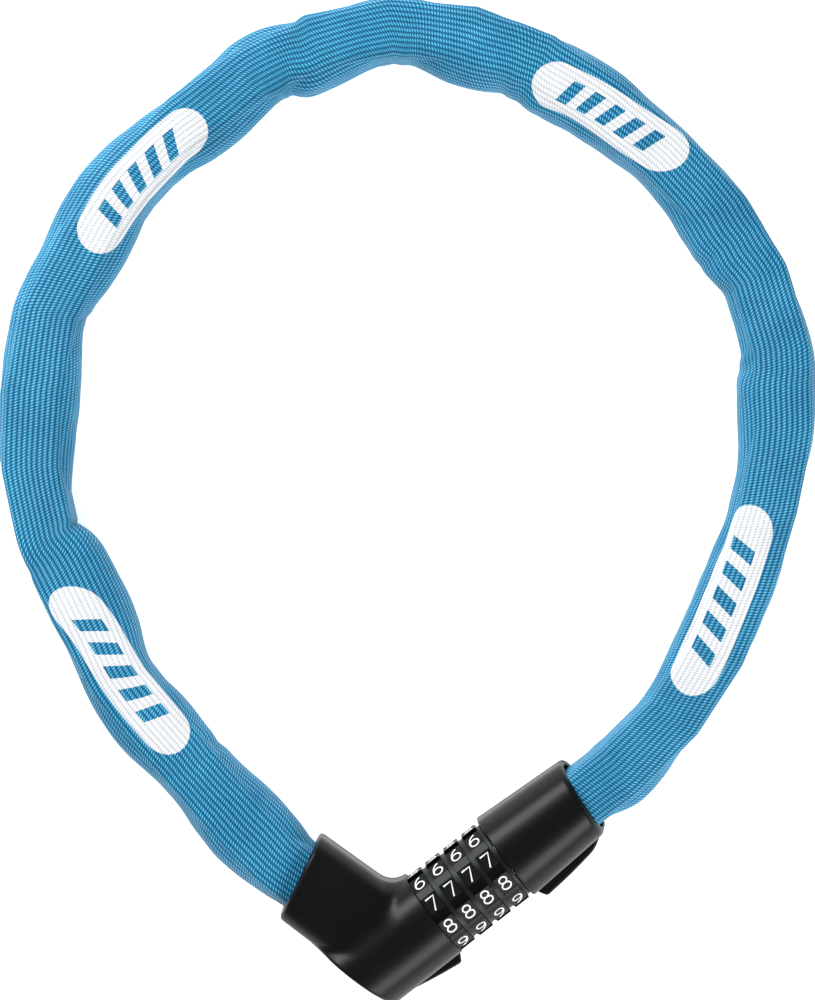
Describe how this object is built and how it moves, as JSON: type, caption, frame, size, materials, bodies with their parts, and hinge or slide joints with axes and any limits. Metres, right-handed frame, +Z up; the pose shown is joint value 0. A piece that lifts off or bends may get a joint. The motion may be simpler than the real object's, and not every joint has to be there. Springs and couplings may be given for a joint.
{
  "type": "chain lock",
  "caption": "Loop of square-link chain in a woven fabric sleeve, closed by a combination lock whose cap slides off an elbow housing.",
  "frame": {"origin": "centre of the loop outline on the plane the lock lies on", "axes": "+Z up out of that plane, +Y from the lock across the loop, +X to the cap side"},
  "size_m": [0.2584, 0.3159, 0.029],
  "materials": {
    "sleeve_fabric": "woven synthetic tube, matt",
    "shell_plastic": "satin black moulding",
    "wheel_plastic": "satin black, white digits",
    "spacer_metal": "satin grey",
    "turned_steel": "turned",
    "hard_steel": "hardened and ground",
    "spring_steel": "stamped strip",
    "screw_steel": "blackened",
    "zinc_casting": "zinc die casting",
    "chain_steel": "hardened, zinc plated"
  },
  "bodies": {
    "root": {"chain_link_01": "chain_steel", "detent_comb": "spring_steel", "elbow_chain_anchor": "zinc_casting", "elbow_chain_pin": "hard_steel", "elbow_core": "zinc_casting", "elbow_lower_shell": "shell_plastic", "elbow_screws": "screw_steel", "elbow_sleeve_clamp": "spring_steel", "elbow_upper_shell": "shell_plastic", "fabric_sleeve": "sleeve_fabric", "lock_barrel": "turned_steel", "spacer_rings": "spacer_metal", "stack_end_ring": "spacer_metal", "chain_link_02": "chain_steel"},
    "cap": {"cap_core": "zinc_casting", "cap_lower_shell": "shell_plastic", "cap_upper_shell": "shell_plastic", "cap_screws": "screw_steel", "cap_chain_pin": "hard_steel", "cap_sleeve_clamp": "spring_steel", "locking_bolt": "hard_steel", "bolt_cross_pin": "hard_steel"},
    "wheel_1": {"number_wheel_1": "wheel_plastic", "code_ring_1": "turned_steel"},
    "wheel_2": {"number_wheel_2": "wheel_plastic", "code_ring_2": "turned_steel"},
    "wheel_3": {"number_wheel_3": "wheel_plastic", "code_ring_3": "turned_steel"},
    "wheel_4": {"number_wheel_4": "wheel_plastic", "code_ring_4": "turned_steel"},
    "chain_from_03": {"chain_link_03": "chain_steel", "chain_link_04": "chain_steel", "chain_link_05": "chain_steel", "chain_link_06": "chain_steel"},
    "chain_from_07": {"chain_link_07": "chain_steel", "chain_link_08": "chain_steel", "chain_link_09": "chain_steel", "chain_link_10": "chain_steel", "chain_link_11": "chain_steel", "chain_link_12": "chain_steel", "chain_link_13": "chain_steel", "chain_link_14": "chain_steel"},
    "chain_from_15": {"chain_link_15": "chain_steel", "chain_link_16": "chain_steel", "chain_link_17": "chain_steel", "chain_link_18": "chain_steel", "chain_link_19": "chain_steel", "chain_link_20": "chain_steel"},
    "chain_from_21": {"chain_link_21": "chain_steel", "chain_link_22": "chain_steel", "chain_link_23": "chain_steel", "chain_link_24": "chain_steel", "chain_link_25": "chain_steel"},
    "chain_from_26": {"chain_link_26": "chain_steel", "chain_link_27": "chain_steel", "chain_link_28": "chain_steel", "chain_link_29": "chain_steel"}
  },
  "joints": [
    {"name": "cap_slide", "type": "slide", "parent": "root", "child": "cap", "axis": [0.788, 0.6157, 0], "range_m": [0, 0.042], "deforming": ["fabric_sleeve"]},
    {"name": "wheel_1_turn", "type": "hinge", "parent": "root", "child": "wheel_1", "pos_m": [0.0081, -0.1291, 0.0145], "axis": [0.788, 0.6157, 0], "continuous": true, "deforming": ["detent_comb"]},
    {"name": "wheel_2_turn", "type": "hinge", "parent": "root", "child": "wheel_2", "pos_m": [0.0081, -0.1291, 0.0145], "axis": [0.788, 0.6157, 0], "continuous": true},
    {"name": "wheel_3_turn", "type": "hinge", "parent": "root", "child": "wheel_3", "pos_m": [0.0081, -0.1291, 0.0145], "axis": [0.788, 0.6157, 0], "continuous": true},
    {"name": "wheel_4_turn", "type": "hinge", "parent": "root", "child": "wheel_4", "pos_m": [0.0081, -0.1291, 0.0145], "axis": [0.788, 0.6157, 0], "continuous": true},
    {"name": "link_03_swing", "type": "hinge", "parent": "root", "child": "chain_from_03", "pos_m": [-0.05816, -0.09332, 0.0122], "axis": [0, 0, 1], "range_deg": [-11, 0.23]},
    {"name": "link_07_swing", "type": "hinge", "parent": "chain_from_03", "child": "chain_from_07", "pos_m": [-0.11166, -0.01374, 0.0122], "axis": [0, 0, 1], "range_deg": [-0.26, 12.69]},
    {"name": "link_15_swing", "type": "hinge", "parent": "chain_from_07", "child": "chain_from_15", "pos_m": [-0.02901, 0.14179, 0.0122], "axis": [0, 0, 1], "range_deg": [-0.09, 3.95]},
    {"name": "link_21_swing", "type": "hinge", "parent": "chain_from_15", "child": "chain_from_21", "pos_m": [0.09674, 0.08978, 0.0122], "axis": [0, 0, 1], "range_deg": [-0.08, 3.33]},
    {"name": "link_26_swing", "type": "hinge", "parent": "chain_from_21", "child": "chain_from_26", "pos_m": [0.10498, -0.02491, 0.0122], "axis": [0, 0, 1], "range_deg": [-8.96, 0.19]}
  ],
  "couplings": [
    {"joint": "link_03_swing", "follows": "cap_slide", "rad_per_m": -4.4761},
    {"joint": "link_07_swing", "follows": "cap_slide", "rad_per_m": 5.1657},
    {"joint": "link_15_swing", "follows": "cap_slide", "rad_per_m": 1.6032},
    {"joint": "link_21_swing", "follows": "cap_slide", "rad_per_m": 1.3528},
    {"joint": "link_26_swing", "follows": "cap_slide", "rad_per_m": -3.6455}
  ]
}
